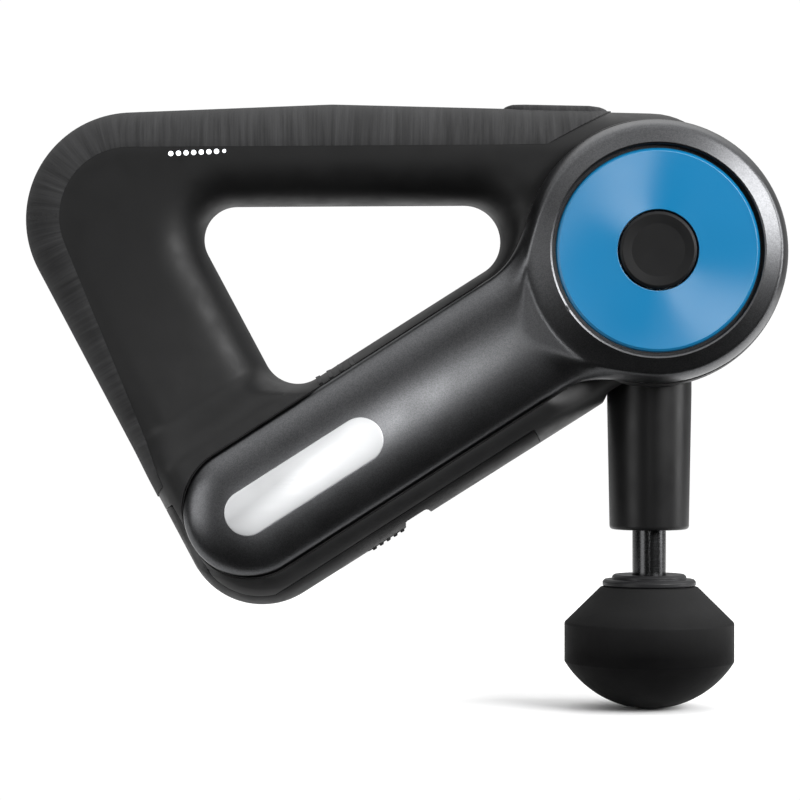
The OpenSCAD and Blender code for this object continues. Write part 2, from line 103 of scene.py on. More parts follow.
# Start and width of each change of thickness: from the bars to the arm, measured across the
# arm and along it, and from the handle to the head, measured from the head's axis
BAR_TO_ARM = (-38.0, 14.0)
ROOT_TO_ARM = (-10.0, 20.0)
HEAD_TO_HANDLE = (45.0, 14.0)
# Least width of the grid's outer rows, on the bars and on the arm, and where it changes
SIDE_W = (1.5, 6.5)
SIDE_CHANGE = (5.0, 15.0)
# Width of the grip band at the upper left corner, and the x and z that it ends at
BAND_W = 12.5
BAND_END = (-12.0, -78.2)
# Half the hairline between the front and the rear of the housing
SEAM = 0.06
# The head is a drum, a little wider in the middle plane than at its shoulders
HEAD_R = cad("drive_carrier")[1][0] + 2.2
HEAD_CROWN = 1.1
HEAD_WALL = 20.0
CAVITY_R = HEAD_R - 1.8
CAVITY_HALF = 17.5
BEARING_R = 19.0
# Slot that the drive arm swings in: its limits in degrees, half width and straight side
SWING = (-108.0, 50.4)
SLOT_HALF = 14.0
SLOT_X = -13.95
SLOT_Z = -30.0
SLOT_REACH = 70.0
# Front and rear cover: a ring round the disc, a crowned pill on the arm and the neck between.
# The ring's face starts at the lip, RING_RIM lower than the part's face, falls by RING_FALL
# and ends in an edge that is rounded over a width of RING_TURN
RING_R = 41.1
RING_BACK = 20.3
RING_RIM = 0.1
RING_FALL = 2.6
RING_TURN = 3.4
LIP_R = 33.4
RECESS_R = 32.7
RECESS_Y = 30.5
PILL_R = 20.7
PILL_S = 150.2
COVER_TOP = 31.0
COVER_EDGE = 24.0
COVER_BASE = 22.5
COVER_POWER = 2.2
COVER_GAP = 0.45
# Cover edges that turn by more than this, in degrees, are shaded sharp
COVER_SHARP = 38
# Neck: its fillet, the arm's straight end, and the degrees where the ring and the lip start
NECK_FILLET = 12.0
NECK_S = 52.0
NECK_TURN = 36.0
LIP_TURN = 26.0
# Distance from the head's axis where the ring's height turns into the arm's, and over how far
ARM_FROM = 38.0
ARM_BLEND = 11.5
PLATE_S = (109.1, 150.6)
PLATE_R = 7.1
# Battery: its keel lies below t = KEEL_T and its core in a channel of the arm
KEEL_T = 26.5
CHANNEL_S = 62.0
CHANNEL_LOW = -14.5
CHANNEL_Y = 21.5
GAP = 0.2
# Limits of tools that only have to reach past the part
PAST_TIP = 220.0
FAR = 60.0


# ---------- small geometry helpers ----------

def in_arm(points):
    """Distance along the lower arm and distance below its axis of [x, z] points."""
    points = np.asarray(points, float)
    return points @ ALONG, points @ BELOW


def from_arm(s, t):
    """[x, z] of places along the lower arm and below its axis."""
    return np.outer(np.atleast_1d(s), ALONG) + np.outer(np.atleast_1d(t), BELOW)


def on_arc(radius, angle, s=0.0):
    """[s, t] of a point on a circle round the place s of the lower arm's axis."""
    return s + radius * math.cos(angle), radius * math.sin(angle)


def mix(low, high, share):
    """low where share is 0, high where it is 1."""
    return low + (high - low) * share


def ease(x, start, width):
    """0 up to start, 1 from start + width on, and smooth between."""
    u = np.clip((x - start) / width, 0, 1)
    return u * u * (3 - 2 * u)


def rounding(u, power):
    """Height of a rounded edge, from 0 at u = 0 to 1 at u = 1."""
    return (1 - (1 - np.clip(u, 0, 1)) ** power) ** (1 / power)


def convex_outline(circles, count=720):
    """Closed polygon round a set of circles, counter-clockwise."""
    a = np.linspace(0, 2 * np.pi, count, endpoint=False)
    pts = np.concatenate([np.c_[x + r * np.cos(a), z + r * np.sin(a)] for x, z, r in circles])
    pts = pts[np.lexsort((pts[:, 1], pts[:, 0]))]

    def half(seq):
        """Outer side of points that are sorted by x."""
        out = []
        for p in seq:
            while len(out) > 1 and np.cross(out[-1] - out[-2], p - out[-2]) <= 1e-12:
                out.pop()
            out.append(p)
        return out[:-1]

    return np.array(half(pts) + half(pts[::-1]))


def ray_hits(outline, centre, angles):
    """Where rays from centre leave a star-shaped outline."""
    a = outline - centre
    b = np.roll(outline, -1, axis=0) - centre
    d = np.c_[np.cos(angles), np.sin(angles)]
    out = np.zeros((len(angles), 2))
    for i, ray in enumerate(d):
        side_a = ray[0] * a[:, 1] - ray[1] * a[:, 0]
        side_b = ray[0] * b[:, 1] - ray[1] * b[:, 0]
        hit = np.nonzero((side_a <= 0) & (side_b > 0))[0]
        share = side_a[hit] / (side_a[hit] - side_b[hit])
        point = a[hit] + share[:, None] * (b[hit] - a[hit])
        out[i] = point[np.argmax(point @ ray)] + centre
    return out


def distance_to(outline, points):
    """Distance of each point from a closed outline."""
    a = outline
    b = np.roll(outline, -1, axis=0)
    ab = b - a
    length2 = (ab ** 2).sum(1) + 1e-12
    best = np.full(len(points), 1e9)
    for start in range(0, len(points), 2000):
        p = points[start:start + 2000]
        ap = p[:, None, :] - a[None]
        share = np.clip((ap * ab[None]).sum(2) / length2, 0, 1)
        gap = ap - share[..., None] * ab[None]
        best[start:start + 2000] = np.sqrt((gap ** 2).sum(2)).min(1)
    return best


# ---------- mesh helpers ----------

def new_object(name, data):
    """A new object in the scene."""
    obj = bpy.data.objects.new(name, data)
    bpy.context.collection.objects.link(obj)
    return obj


def mesh_object(name, verts, faces, uv=None):
    """A new object from vertices in millimetres, faces and, if given, each vertex's UV place."""
    mesh = bpy.data.meshes.new(name)
    mesh.from_pydata([tuple(v) for v in np.asarray(verts) * MM], [], faces)
    if uv is not None:
        layer = mesh.uv_layers.new(name="across")
        flat = np.asarray(uv)[[loop.vertex_index for loop in mesh.loops]]
        layer.data.foreach_set("uv", flat.astype(np.float32).ravel())
    return new_object(name, mesh)


def tidy_normals(obj, angle=32):
    """Welds the mesh, turns its normals outward and shades it smooth except at sharp edges."""
    bm = bmesh.new()
    bm.from_mesh(obj.data)
    bmesh.ops.remove_doubles(bm, verts=bm.verts, dist=2e-6)
    bmesh.ops.dissolve_degenerate(bm, edges=bm.edges, dist=1e-6)
    bmesh.ops.recalc_face_normals(bm, faces=bm.faces)
    bm.to_mesh(obj.data)
    bm.free()
    for poly in obj.data.polygons:
        poly.use_smooth = True
    obj.data.set_sharp_from_angle(angle=math.radians(angle))
    return obj


def grid_faces(rows, cols, closed=False, offset=0):
    """Quads of a grid of rows x cols vertices; closed joins the last column to the first."""
    faces = []
    for r in range(rows - 1):
        for c in range(cols if closed else cols - 1):
            n = (c + 1) % cols
            faces.append((offset + r * cols + c, offset + r * cols + n,
                          offset + (r + 1) * cols + n, offset + (r + 1) * cols + c))
    return faces


def apply_modifier(obj, kind, **values):
    """Adds a modifier with these settings to obj and applies it."""
    mod = obj.modifiers.new(kind, kind)
    for key, value in values.items():
        setattr(mod, key, value)
    with bpy.context.temp_override(object=obj, active_object=obj, selected_objects=[obj]):
        bpy.ops.object.modifier_apply(modifier=mod.name)


def boolean(obj, other, operation):
    """Adds, cuts or intersects obj with other, and removes other."""
    apply_modifier(obj, "BOOLEAN", operation=operation, object=other, solver="EXACT")
    mesh = other.data
    bpy.data.objects.remove(other)
    bpy.data.meshes.remove(mesh)
    return obj


def cut(obj, *tools):
    """Takes each tool out of obj."""
    for tool in tools:
        boolean(obj, tool, "DIFFERENCE")
    return obj


def join(obj, *others):
    """Adds each of the others to obj."""
    for other in others:
        boolean(obj, other, "UNION")
    return obj


def rounded_profile(points, step=12):
    """[radius, height, fillet] corners to a smooth profile; a fillet of 0 keeps a sharp corner."""
    out = []
    for i, (r, h, f) in enumerate(points):
        p = np.array([r, h], float)
        if f == 0 or i in (0, len(points) - 1):
            out.append(p)
            continue
        before = np.array(points[i - 1][:2], float) - p
        after = np.array(points[i + 1][:2], float) - p
        lb, la = np.linalg.norm(before), np.linalg.norm(after)
        before, after = before / lb, after / la
        half = math.acos(np.clip(before @ after, -1, 1)) / 2
        reach = min(f / math.tan(half), 0.49 * lb, 0.49 * la)
        a, b = p + before * reach, p + after * reach
        for k in range(step + 1):
            w = k / step
            out.append((1 - w) ** 2 * a + 2 * w * (1 - w) * p + w * w * b)
    return np.array(out)


def lathe(name, points, axis="Y", centre=(0, 0, 0), count=128):
    """A turned piece. Heights run along axis; Y heights count from the middle plane."""
    prof = rounded_profile(points)
    angles = np.linspace(0, 2 * np.pi, count, endpoint=False)
    verts = []
    for r, h in prof:
        c, s = max(r, 0) * np.cos(angles), max(r, 0) * np.sin(angles)
        high = np.full(count, h)
        ring = np.c_[c, high + MID, s] if axis == "Y" else np.c_[c, s + MID, high]
        verts.append(ring + np.array(centre))
    obj = mesh_object(name, np.concatenate(verts), grid_faces(len(prof), count, closed=True))
    return tidy_normals(obj)


def drum(radius, y0, y1, centre=(0, 0, 0), count=128):
    """A plain cylinder along Y, mostly used as a tool."""
    return lathe("drum", [(0, y0, 0), (radius, y0, 0), (radius, y1, 0), (0, y1, 0)], "Y", centre, count)


def extruded(name, outline, y0, y1, bevel=0.0):
    """A slab of an [x, z] outline between two heights from the middle plane."""
    n = len(outline)
    front = np.c_[outline[:, 0], np.full(n, y0 + MID), outline[:, 1]]
    back = np.c_[outline[:, 0], np.full(n, y1 + MID), outline[:, 1]]
    faces = [tuple(range(n)), tuple(range(2 * n - 1, n - 1, -1))]
    faces += [(i, n + i, n + (i + 1) % n, (i + 1) % n) for i in range(n)]
    obj = mesh_object(name, np.concatenate([front, back]), faces)
    if bevel:
        bevel_edges(obj, bevel)
    return tidy_normals(obj)


def bevel_edges(obj, width, segments=3, angle=40):
    """Rounds the edges that are sharper than angle, in degrees."""
    apply_modifier(obj, "BEVEL", width=width * MM, segments=segments, limit_method="ANGLE",
                   angle_limit=math.radians(angle))


def rectangle(origin, u, p, q):
    """Corners of a rectangle from its limits p along u and q across it, counted from origin."""
    u = np.array(u, float)
    v = np.array([-u[1], u[0]])
    corners = (p[0], q[0]), (p[1], q[0]), (p[1], q[1]), (p[0], q[1])
    return np.array([origin + u * a + v * b for a, b in corners])


def box_tool(x, y, z):
    """An upright box from its limits, with y counted from the middle plane."""
    return extruded("box_tool", rectangle((0, 0), (1, 0), x, z), *y)


def arm_block(name, s, y, t, bevel=0.0):
    """A box along the lower arm, from limits along it, across it and below its axis."""
    verts = []
    for a in s:
        for b in y:
            for c in t:
                x, z = a * ALONG + c * BELOW
                verts.append((x, b + MID, z))
    faces = [(0, 1, 3, 2), (4, 6, 7, 5), (0, 4, 5, 1), (2, 3, 7, 6), (0, 2, 6, 4), (1, 5, 7, 3)]
    obj = tidy_normals(mesh_object(name, verts, faces))
    if bevel:
        bevel_edges(obj, bevel)
        tidy_normals(obj)
    return obj


def pill(s0, s1, radius, count=24):
    """Outline of a pill along the lower arm."""
    a = np.linspace(-np.pi / 2, np.pi / 2, count)
    right = np.c_[s1 + radius * np.cos(a), radius * np.sin(a)]
    left = np.c_[s0 - radius * np.cos(a), -radius * np.sin(a)]
    return from_arm(*np.concatenate([right, left]).T)


def mirrored_in_y(obj, name):
    """A copy of obj on the other side of the middle plane."""
    copy = obj.copy()
    copy.data = obj.data.copy()
    copy.name = name
    bpy.context.collection.objects.link(copy)
    flip = Matrix.Translation((0, 2 * MID * MM, 0)) @ Matrix.Scale(-1, 4, (0, 1, 0))
    copy.data.transform(flip)
    copy.data.flip_normals()
    return copy


# ---------- materials ----------

RANGE_INPUTS = ("From Min", "From Max", "To Min", "To Max")


class Material:
    """A node material built round one Principled shader."""

    def __init__(self, name, color, rough, metallic=0.0, **sockets):
        self.mat = bpy.data.materials.new(name)
        self.mat.use_nodes = True
        self.tree = self.mat.node_tree
        self.shader = self.tree.nodes["Principled BSDF"]
        self.shader.inputs["Base Color"].default_value = (*color, 1)
        self.shader.inputs["Roughness"].default_value = rough
        self.shader.inputs["Metallic"].default_value = metallic
        for key, value in sockets.items():
            self.shader.inputs[key.replace("_", " ")].default_value = value
        self.last_bump = None

    def node(self, kind, **values):
        """A new node, with inputs or properties set by name."""
        made = self.tree.nodes.new(kind)
        for key, value in values.items():
            if key in made.inputs:
                made.inputs[key].default_value = value
            else:
                setattr(made, key, value)
        return made

    def link(self, a, b):
        """Joins an output to an input."""
        self.tree.links.new(a, b)

    def place(self, stretch=(1, 1, 1), source="Object", turn=(0, 0, 0)):
        """Coordinates of the surface, multiplied by stretch."""
        coords = self.node("ShaderNodeTexCoord")
        mapping = self.node("ShaderNodeMapping")
        mapping.inputs["Scale"].default_value = stretch
        mapping.inputs["Rotation"].default_value = turn
        self.link(coords.outputs[source], mapping.inputs["Vector"])
        return mapping.outputs["Vector"]

    def noise(self, scale, detail=4.0, rough=0.55, **where):
        """Noise texture over the surface."""
        made = self.node("ShaderNodeTexNoise", Scale=scale, Detail=detail, Roughness=rough)
        self.link(self.place(**where), made.inputs["Vector"])
        return made.outputs["Fac"]

    def spread(self, fac, low, high, to_low, to_high):
        """fac, from low to high, becomes to_low to to_high."""
        made = self.node("ShaderNodeMapRange")
        for key, value in zip(RANGE_INPUTS, (low, high, to_low, to_high)):
            made.inputs[key].default_value = value
        self.link(fac, made.inputs["Value"])
        return made.outputs["Result"]

    def tint(self, fac, dark, light, low=0.3, high=0.7):
        """Base colour from dark to light as fac goes from low to high."""
        ramp = self.node("ShaderNodeValToRGB")
        ramp.color_ramp.elements[0].position = low
        ramp.color_ramp.elements[0].color = (*dark, 1)
        ramp.color_ramp.elements[1].position = high
        ramp.color_ramp.elements[1].color = (*light, 1)
        self.link(fac, ramp.inputs["Fac"])
        self.link(ramp.outputs["Color"], self.shader.inputs["Base Color"])
        return self

    def roughen(self, fac, low, high, spread=(0.3, 0.7)):
        """Roughness from low to high as fac goes through spread."""
        self.link(self.spread(fac, *spread, low, high), self.shader.inputs["Roughness"])
        return self

    def bump(self, fac, depth, strength=1.0):
        """Adds bump of a depth in millimetres; bumps stack."""
        made = self.node("ShaderNodeBump")
        made.inputs["Strength"].default_value = strength
        made.inputs["Distance"].default_value = depth * MM
        self.link(fac, made.inputs["Height"])
        if self.last_bump is not None:
            self.link(self.last_bump, made.inputs["Normal"])
        self.last_bump = made.outputs["Normal"]
        self.link(self.last_bump, self.shader.inputs["Normal"])
        return self


def shades(color, low, high):
    """A darker and a lighter shade of a colour."""
    return tuple(c * low for c in color), tuple(c * high for c in color)


def moulded(name, color, rough, grain=2600, depth=0.012, **sockets):
    """Moulded plastic: spark-eroded grain, faint handling marks and uneven gloss."""
    m = Material(name, color, rough, **sockets)
    fine = m.noise(grain, 3)
    broad = m.noise(38, 3)
    m.tint(broad, *shades(color, 0.86, 1.16), 0.3, 0.7)
    m.roughen(m.noise(120, 5), rough * 0.88, min(rough * 1.14, 1))
    return m.bump(fine, depth, 0.55)


def turned_metal(name, color, rough, axis="Y"):
    """Metal with fine tool marks round an axis."""
    m = Material(name, color, rough, 1.0)
    stretch = {"Y": (1, 40, 1), "Z": (1, 1, 40)}[axis]
    marks = m.noise(260, 4, stretch=stretch)
    m.roughen(marks, rough * 0.75, rough * 1.3)
    m.tint(m.noise(60, 3), *shades(color, 0.92, 1.06))
    return m.bump(marks, 0.003, 0.5)


def cover_paint():
    """Satin gunmetal paint with fine metal flake."""
    color = (0.078, 0.079, 0.082)
    m = Material("cover_paint", color, 0.33, 1.0)
    flake = m.node("ShaderNodeTexVoronoi", Scale=3600.0)
    m.link(m.place(), flake.inputs["Vector"])
    m.tint(flake.outputs["Color"], *shades(color, 0.86, 1.2), 0.2, 0.8)
    m.roughen(m.noise(90, 4), 0.31, 0.35)
    return m.bump(m.noise(1900, 3), 0.006, 0.5)


def grip_rubber():
    """Soft-touch grip with streaks that run across the band."""
    m = Material("grip_rubber", (0.034, 0.034, 0.035), 0.8, Specular_IOR_Level=0.2)
    streaks = m.noise(1, 6, 0.62, source="UV", stretch=(760, 26, 1))
    broad = m.noise(1, 4, 0.6, source="UV", stretch=(150, 12, 1))
    mixed = m.node("ShaderNodeMath", operation="ADD")
    m.link(m.spread(streaks, 0.25, 0.75, 0, 0.6), mixed.inputs[0])
    m.link(m.spread(broad, 0.25, 0.75, 0, 0.4), mixed.inputs[1])
    dark, painted_light_and_mottle = (0.012, 0.012, 0.0125), (0.046, 0.046, 0.047)
    m.tint(mixed.outputs[0], dark, painted_light_and_mottle, 0.2, 0.85)
    m.roughen(mixed.outputs[0], 0.68, 0.92, (0.2, 0.8))
    m.bump(m.noise(1, 5, 0.6, stretch=(2300, 2300, 2300)), 0.02, 0.6)
    return m.bump(mixed.outputs[0], 0.16, 0.9)


def foam_material():
    """Closed-cell foam: fine cells, a faint moulding skin, a faint random mottle, and painted light:
    the shoulder is coloured lighter towards its top.
    """
    # The second colour is painted light: the foam's colour at the top of its shoulder, where light from
    # above would fall
    color, painted_top_light = (0.002, 0.002, 0.0021), (0.016, 0.016, 0.0162)
    shoulder_low, shoulder_top = -127 * MM, -113 * MM
    m = Material("foam", color, 0.55, Specular_IOR_Level=0.03)
    cells = m.node("ShaderNodeTexVoronoi", Scale=900.0)
    m.link(m.place(), cells.inputs["Vector"])
    split = m.node("ShaderNodeSeparateXYZ")
    m.link(m.place(), split.inputs["Vector"])
    # Painted highlight: the colour grows lighter up the shoulder, from shoulder_low to shoulder_top,
    # and a faint random mottle from noise is added
    painted_light_and_mottle = m.node("ShaderNodeMath", operation="ADD")
    height = m.spread(split.outputs["Z"], shoulder_low, shoulder_top, 0, 0.85)
    m.link(height, painted_light_and_mottle.inputs[0])
    m.link(m.spread(m.noise(70, 5), 0.3, 0.7, 0, 0.15), painted_light_and_mottle.inputs[1])
    m.tint(painted_light_and_mottle.outputs[0], color, painted_top_light, 0, 1)
    m.roughen(m.noise(160, 5), 0.5, 0.6)
    m.bump(cells.outputs["Distance"], 0.05, 0.4)
    return m.bump(m.noise(1, 4, 0.6, stretch=(200, 200, 900)), 0.03, 0.35)


def anodised_disc():
    """Blue disc with marks round its centre, which draw each light out to a streak."""
    color = (0.004, 0.168, 0.365)
    m = Material("blue_anodised", color, 0.3, 0.0, Anisotropic=0.93, Anisotropic_Rotation=0.975,
                 Specular_IOR_Level=1.0)
    tangent = m.node("ShaderNodeTangent", direction_type="RADIAL", axis="Y")
    m.link(tangent.outputs["Tangent"], m.shader.inputs["Tangent"])
    m.tint(m.noise(26, 2), *shades(color, 0.97, 1.03))
    m.roughen(m.noise(60, 2), 0.28, 0.32)
    return m.bump(m.noise(2400, 2), 0.0006, 0.3)


def brushed_plate():
    """Plain metal plate, brushed along the lower arm."""
    color = (0.56, 0.567, 0.575)
    m = Material("brushed_plate", color, 0.45, 1.0)
    grain = m.noise(1, 3, 0.6, stretch=(60, 60, 4200), turn=(0, TILT, 0))
    m.roughen(grain, 0.38, 0.5)
    m.tint(m.noise(45, 2), *shades(color, 0.92, 1.08))
    return m.bump(grain, 0.004, 0.5)


def printed_board():
    """Green circuit board with lighter tracks."""
    m = Material("board", (0.01, 0.09, 0.04), 0.4, Coat_Weight=0.3)
    tracks = m.node("ShaderNodeTexBrick", Scale=160.0)
    m.link(m.place(), tracks.inputs["Vector"])
    m.tint(tracks.outputs["Fac"], (0.008, 0.07, 0.03), (0.02, 0.17, 0.07))
    return m.bump(tracks.outputs["Fac"], 0.03, 0.5)


def wound_copper():
    """Copper windings."""
    m = Material("copper", (0.62, 0.26, 0.09), 0.32, 0.9)
    wave = m.node("ShaderNodeTexWave", Scale=900.0, Distortion=0.6)
    m.link(m.place(), wave.inputs["Vector"])
    m.tint(wave.outputs["Fac"], (0.4, 0.15, 0.05), (0.75, 0.34, 0.14))
    return m.bump(wave.outputs["Fac"], 0.05, 0.6)


def light_pipe():
    """White charge light, lit."""
    m = Material("light_pipe", (0.92, 0.95, 1.0), 0.25, Emission_Strength=1.3)
    m.shader.inputs["Emission Color"].default_value = (0.95, 0.97, 1, 1)
    return m.bump(m.noise(700, 2), 0.004, 0.4)


# One material for each slot of the record
MATS = {
    "shell": moulded("shell_plastic", (0.0052, 0.0052, 0.0054), 0.52, Specular_IOR_Level=0.28),
    "grip_rubber": grip_rubber(),
    "cover": cover_paint(),
    "disc": anodised_disc(),
    "plate": brushed_plate(),
    "led": light_pipe(),
    "grille": moulded("grille", (0.01, 0.01, 0.011), 0.45, 900, 0.01),
    "board": printed_board(),
    "wire": moulded("wire", (0.3, 0.02, 0.02), 0.45),
    "screw_steel": turned_metal("screw_steel", (0.2, 0.2, 0.21), 0.35),
    "bush_plastic": moulded("acetal", (0.62, 0.59, 0.5), 0.4),
    "carrier": moulded("carrier_nylon", (0.012, 0.012, 0.013), 0.55, 1500, 0.02),
    "sleeve": moulded("sleeve_satin", (0.006, 0.006, 0.0062), 0.36, 3000, 0.003,
                      Specular_IOR_Level=0.2),
    "bronze": turned_metal("bronze", (0.48, 0.33, 0.16), 0.4, "Z"),
    "seal_rubber": moulded("seal_rubber", (0.01, 0.01, 0.01), 0.7),
    "cast_alloy": moulded("cast_alloy", (0.45, 0.46, 0.48), 0.42, 900, 0.03, metallic=1.0),
    "bearing_steel": turned_metal("bearing_steel", (0.62, 0.63, 0.65), 0.16),
    "copper": wound_copper(),
    "machined_steel": turned_metal("machined_steel", (0.4, 0.41, 0.43), 0.3),
    "shaft_steel": turned_metal("shaft_steel", (0.05, 0.0505, 0.052), 0.24, "Z"),
    "socket_grey": moulded("socket_grey", (0.014, 0.014, 0.015), 0.4, 2200, 0.01,
                           Specular_IOR_Level=0.2),
    "foam": foam_material(),
    "button": moulded("button_satin", (0.005, 0.005, 0.0053), 0.48, 2600, 0.008,
                      Specular_IOR_Level=0.2),
    "battery": moulded("battery_plastic", (0.0025, 0.0025, 0.0027), 0.48, 2200, 0.014,
                       Specular_IOR_Level=0.06),
    "cell_wrap": moulded("cell_wrap", (0.03, 0.16, 0.45), 0.28),
    "gold": turned_metal("gold", (0.8, 0.56, 0.2), 0.25),
}


def paint(obj, slot_name):
    """Gives a piece the material of its slot."""
    obj.data.materials.clear()
    obj.data.materials.append(MATS[slot_name].mat)


def piece(obj, body, slot_name, *nodes):
    """Finishes a piece: its material, the body it rides on, and the CAD nodes it stands for."""
    paint(obj, slot_name)
    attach(obj, body)
    if nodes:
        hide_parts(*nodes)
    return obj


# Every CAD node shows its slot's material, also those that no piece replaces
for part in frame["record"]["subparts"]:
    node = frame["nodes"][part["node"]]
    for slot in node.material_slots:
        slot.material = MATS[part["material_slot"]].mat


# ---------- handle ----------

OUTER = convex_outline([(x, z, r - SKIN) for x, z, r in
                        (CORNER_TOP, CROWN_TOP, END_TOP, CORNER_LOW, ARM_END, ARM_ROOT)])
INNER = convex_outline(HOLE)
# The band is wide along the top and left bars and ends at the lower corner and at the head
BAND_EDGE = convex_outline([(*CORNER_TOP[:2], CORNER_TOP[2] - BAND_W),
                            (*CORNER_LOW[:2], CORNER_LOW[2] - SKIN - SIDE_W[0]), (0, 0, 34)])
# Point of the hand hole that every column of the handle's grid runs towards
HUB = np.array([-101.0, -3.0])


def along_rim(outline, points):
    """Distance round a closed outline of the place nearest to each point."""
    a = outline
    ab = np.roll(outline, -1, axis=0) - a
    length = np.linalg.norm(ab, axis=1)
    start = np.concatenate([[0], np.cumsum(length)[:-1]])
    out = np.zeros(len(points))
    for i, p in enumerate(points):
        share = np.clip(((p - a) * ab).sum(1) / (length ** 2 + 1e-12), 0, 1)
        gap = ((p - a - share[:, None] * ab) ** 2).sum(1)
        k = np.argmin(gap)
        out[i] = start[k] + share[k] * length[k]
    return out


def handle_height(points):
    """Half thickness of the handle at each [x, z] point."""
    s, t = in_arm(points)
    arm = ease(t, *BAR_TO_ARM) * ease(s, *ROOT_TO_ARM)
    near_head = 1 - ease(np.linalg.norm(points, axis=1), *HEAD_TO_HANDLE)
    top = mix(mix(BAR_HALF, ARM_HALF, arm), HEAD_WALL, near_head)
    at_rim = rounding(distance_to(OUTER, points) / mix(*RIM_EDGE, arm), EDGE_POWER)
    at_hole = rounding(distance_to(INNER, points) / mix(*HOLE_EDGE, arm), EDGE_POWER)
    return top * at_rim * at_hole


def handle_grid(stations=440, outer_rows=14, inner_rows=30):
    """Points of the handle from its rim across to the hand hole, row by row."""
    angles = np.linspace(0, 2 * np.pi, stations, endpoint=False)
    rim = ray_hits(OUTER, HUB, angles)
    hole = ray_hits(INNER, HUB, angles)
    inward = (hole - rim) / np.linalg.norm(hole - rim, axis=1)[:, None]
    wide = ((rim - ray_hits(BAND_EDGE, HUB, angles)) * -inward).sum(1)
    least = mix(*SIDE_W, ease(in_arm(rim)[1], *SIDE_CHANGE))
    edge = rim + inward * np.maximum(wide, least)[:, None]
    rows = []
    for k in range(outer_rows):
        w = 1 - math.cos(math.pi / 2 * k / outer_rows)
        rows.append(rim + (edge - rim) * w)
    for k in range(inner_rows + 1):
        w = math.sin(math.pi / 2 * k / inner_rows)
        rows.append(edge + (hole - edge) * w)
    return np.array(rows), rim


GRID, RIM = handle_grid()
HEIGHT = handle_height(GRID.reshape(-1, 2)).reshape(GRID.shape[:2])
HEIGHT[0] = 0
HEIGHT[-1] = 0


def handle_half():
    """Front half of the handle as a closed solid, with a hairline to the other half."""
    rows, cols = HEIGHT.shape
    flat = GRID.reshape(-1, 2)
    high = np.maximum(HEIGHT.reshape(-1), 0)
    front = np.c_[flat[:, 0], MID - SEAM - high, flat[:, 1]]
    # the flat side needs only every fourth row
    back = [np.c_[row[:, 0], np.full(cols, MID - SEAM), row[:, 1]] for row in GRID[1:-1][::4]]
    faces = grid_faces(rows, cols, closed=True)
    order = [0, *range(rows, rows + len(back)), rows - 1]
    for a, b in zip(order[:-1], order[1:]):
        for c in range(cols):
            n = (c + 1) % cols
            faces.append((a * cols + c, b * cols + c, b * cols + n, a * cols + n))
    return tidy_normals(mesh_object("handle_half", np.concatenate([front, *back]), faces))


def head_housing():
    """Drum of the head, front half."""
    crown = [(HEAD_R + HEAD_CROWN * (1 - (y / HEAD_WALL) ** 2), -y, 0)
             for y in (17, 14, 11, 8, 5, 2.5)]
    return lathe("housing", [(0, -HEAD_WALL, 0), (HEAD_R - 0.1, -HEAD_WALL, 0.8), *crown,
                             (HEAD_R + HEAD_CROWN, -SEAM, 0), (0, -SEAM, 0)])


def wedge(start, end, radius, half):
    """Sector of the head, as a tool that opens the arm slot."""
    a = np.radians(np.linspace(start, end, 24))
    outline = np.concatenate([[[0, 0]], np.c_[radius * np.cos(a), radius * np.sin(a)]])
    return extruded("slot_tool", outline, -half, half)


def keel_block(gap=0.0):
    """Room of the battery below the arm, with a gap round it."""
    return arm_block("keel", (CHANNEL_S - gap, PAST_TIP), (-FAR, FAR), (KEEL_T - gap, FAR))


def core_block(low, gap=0.0, bevel=0.0):
    """Room of the battery inside the arm, down to t = low."""
    y = CHANNEL_Y + gap
    return arm_block("core", (CHANNEL_S - gap, PAST_TIP), (-y, y), (CHANNEL_LOW - gap, low), bevel)


def cut_common(shell):
    """Cavity, bearing hole, arm slot and battery channel of either shell."""
    cavity = drum(CAVITY_R, -CAVITY_HALF, CAVITY_HALF)
    bearing = drum(BEARING_R, -HALF, HALF)
    straight_side = box_tool((SLOT_X, 0), (-SLOT_HALF, SLOT_HALF), (-FAR, SLOT_Z))
    swing = wedge(*SWING, SLOT_REACH, SLOT_HALF)
    return cut(shell, cavity, bearing, swing, straight_side,
               keel_block(GAP), core_block(FAR, GAP))


# ---------- covers ----------

def cover_field(points):
    """Signed distance to the cover's outline, negative inside."""
    s, t = in_arm(points)
    ring = np.linalg.norm(points, axis=1) - RING_R
    arm = np.hypot(s - np.clip(s, 0, PILL_S), t) - PILL_R
    h = np.maximum(NECK_FILLET - np.abs(ring - arm), 0) / NECK_FILLET
    return np.minimum(ring, arm) - h * h * NECK_FILLET * 0.25


def snap_to_outline(points, offset=0.0):
    """Moves points along the field's slope until they lie on the outline."""
    points = np.array(points, float)
    e = 0.01
    for _ in range(12):
        f = cover_field(points) - offset
        gx = (cover_field(points + [e, 0]) - cover_field(points - [e, 0])) / (2 * e)
        gz = (cover_field(points + [0, e]) - cover_field(points - [0, e])) / (2 * e)
        g = np.c_[gx, gz]
        points -= g * (f / np.maximum((g ** 2).sum(1), 0.2))[:, None]
    return points


